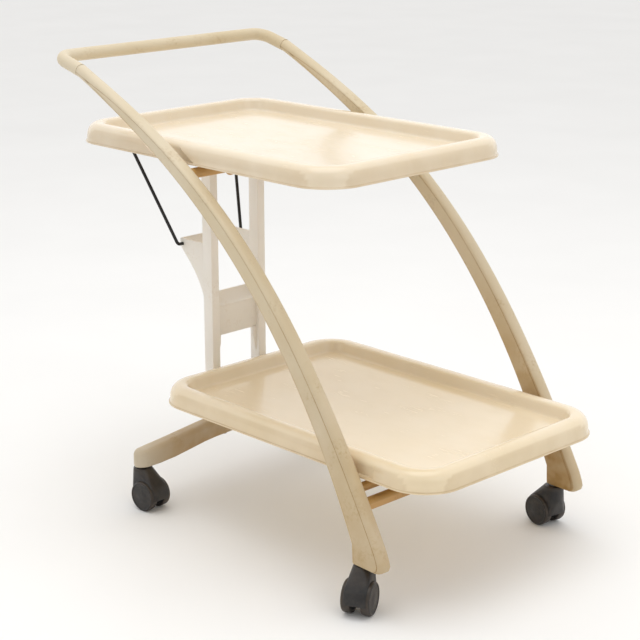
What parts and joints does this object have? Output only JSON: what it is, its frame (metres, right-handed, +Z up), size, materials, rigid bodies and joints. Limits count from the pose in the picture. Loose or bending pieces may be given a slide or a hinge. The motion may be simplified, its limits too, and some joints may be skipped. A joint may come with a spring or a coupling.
{
  "type": "folding serving trolley",
  "caption": "Folding serving trolley: moulded trays on curved side arms that run up into a push handle, with a hinged rear column and swivelling hooded castors.",
  "frame": {"origin": "on the floor under the middle of the trolley's bounding box, to within 6 mm", "axes": "+X forward, away from the push handle; +Y to the trolley's left; +Z up"},
  "size_m": [0.807, 0.5182, 0.7405],
  "materials": {
    "tray_cream": "glossy moulded plastic",
    "arm_beige": "satin moulded plastic",
    "column_white": "satin moulded plastic",
    "bar_tan": "satin moulded plastic",
    "castor_dark": "worn moulded nylon",
    "wire_black": "black dipped steel wire",
    "steel": "zinc plated"
  },
  "bodies": {
    "side_frame": {"handle_bar": "arm_beige", "right_arm": "arm_beige", "left_arm": "arm_beige", "upper_cross_bar": "bar_tan", "lower_cross_bar": "bar_tan", "lower_cross_beam": "bar_tan", "hinge_bracket": "bar_tan", "hinge_pin": "steel", "bracket_screws": "steel", "front_castor_sockets": "steel"},
    "rear_column": {"column": "column_white", "foot_beam": "column_white", "column_screws": "steel", "stay_wire": "wire_black", "tray_rest": "steel", "rear_castor_sockets": "steel"},
    "upper_tray_set": {"upper_tray": "tray_cream", "upper_hinge_clips": "bar_tan", "stay_saddles": "bar_tan", "upper_tray_screws": "steel"},
    "lower_tray_set": {"lower_tray": "tray_cream", "lower_hinge_clips": "bar_tan", "lower_tray_screws": "steel"},
    "front_right_castor": {"front_right_stem": "steel", "front_right_hood": "castor_dark", "front_right_axle": "steel"},
    "front_right_outer_roller": {"front_right_outer_wheel": "castor_dark"},
    "front_right_inner_roller": {"front_right_inner_wheel": "castor_dark"},
    "front_left_castor": {"front_left_stem": "steel", "front_left_hood": "castor_dark", "front_left_axle": "steel"},
    "front_left_outer_roller": {"front_left_outer_wheel": "castor_dark"},
    "front_left_inner_roller": {"front_left_inner_wheel": "castor_dark"},
    "rear_right_castor": {"rear_right_stem": "steel", "rear_right_hood": "castor_dark", "rear_right_axle": "steel"},
    "rear_right_outer_roller": {"rear_right_outer_wheel": "castor_dark"},
    "rear_right_inner_roller": {"rear_right_inner_wheel": "castor_dark"},
    "rear_left_castor": {"rear_left_stem": "steel", "rear_left_hood": "castor_dark", "rear_left_axle": "steel"},
    "rear_left_outer_roller": {"rear_left_outer_wheel": "castor_dark"},
    "rear_left_inner_roller": {"rear_left_inner_wheel": "castor_dark"}
  },
  "joints": [
    {"name": "column_fold", "type": "hinge", "parent": "side_frame", "child": "rear_column", "pos_m": [-0.228, 0, 0.572], "axis": [0, -1, 0], "range_deg": [0, 16]},
    {"name": "lower_tray_lift", "type": "hinge", "parent": "side_frame", "child": "lower_tray_set", "pos_m": [0.269, 0, 0.176], "axis": [0, 1, 0], "range_deg": [0, 42]},
    {"name": "upper_tray_tilt", "type": "hinge", "parent": "side_frame", "child": "upper_tray_set", "pos_m": [-0.086, 0, 0.582], "axis": [0, 1, 0], "range_deg": [0, 40]},
    {"name": "front_right_swivel", "type": "hinge", "parent": "side_frame", "child": "front_right_castor", "pos_m": [0.292, -0.217, 0.072], "axis": [0, 0, 1], "continuous": true},
    {"name": "front_right_outer_spin", "type": "hinge", "parent": "front_right_castor", "child": "front_right_outer_roller", "pos_m": [0.29918, -0.23241, 0.025], "axis": [0.9063, 0.4226, 0], "continuous": true},
    {"name": "front_right_inner_spin", "type": "hinge", "parent": "front_right_castor", "child": "front_right_inner_roller", "pos_m": [0.29918, -0.23241, 0.025], "axis": [0.9063, 0.4226, 0], "continuous": true},
    {"name": "front_left_swivel", "type": "hinge", "parent": "side_frame", "child": "front_left_castor", "pos_m": [0.292, 0.217, 0.072], "axis": [0, 0, 1], "continuous": true},
    {"name": "front_left_outer_spin", "type": "hinge", "parent": "front_left_castor", "child": "front_left_outer_roller", "pos_m": [0.27517, 0.21937, 0.025], "axis": [-0.1392, -0.9903, 0], "continuous": true},
    {"name": "front_left_inner_spin", "type": "hinge", "parent": "front_left_castor", "child": "front_left_inner_roller", "pos_m": [0.27517, 0.21937, 0.025], "axis": [-0.1392, -0.9903, 0], "continuous": true},
    {"name": "rear_right_swivel", "type": "hinge", "parent": "rear_column", "child": "rear_right_castor", "pos_m": [-0.23, -0.207, 0.072], "axis": [0, 0, 1], "continuous": true},
    {"name": "rear_right_outer_spin", "type": "hinge", "parent": "rear_right_castor", "child": "rear_right_outer_roller", "pos_m": [-0.21306, -0.20552, 0.025], "axis": [-0.0872, 0.9962, 0], "continuous": true},
    {"name": "rear_right_inner_spin", "type": "hinge", "parent": "rear_right_castor", "child": "rear_right_inner_roller", "pos_m": [-0.21306, -0.20552, 0.025], "axis": [-0.0872, 0.9962, 0], "continuous": true},
    {"name": "rear_left_swivel", "type": "hinge", "parent": "rear_column", "child": "rear_left_castor", "pos_m": [-0.23, 0.207, 0.072], "axis": [0, 0, 1], "continuous": true},
    {"name": "rear_left_outer_spin", "type": "hinge", "parent": "rear_left_castor", "child": "rear_left_outer_roller", "pos_m": [-0.22282, 0.22241, 0.025], "axis": [-0.9063, 0.4226, 0], "continuous": true},
    {"name": "rear_left_inner_spin", "type": "hinge", "parent": "rear_left_castor", "child": "rear_left_inner_roller", "pos_m": [-0.22282, 0.22241, 0.025], "axis": [-0.9063, 0.4226, 0], "continuous": true}
  ],
  "couplings": [
    {"joint": "lower_tray_lift", "follows": "column_fold", "ratio": 2.6}
  ]
}
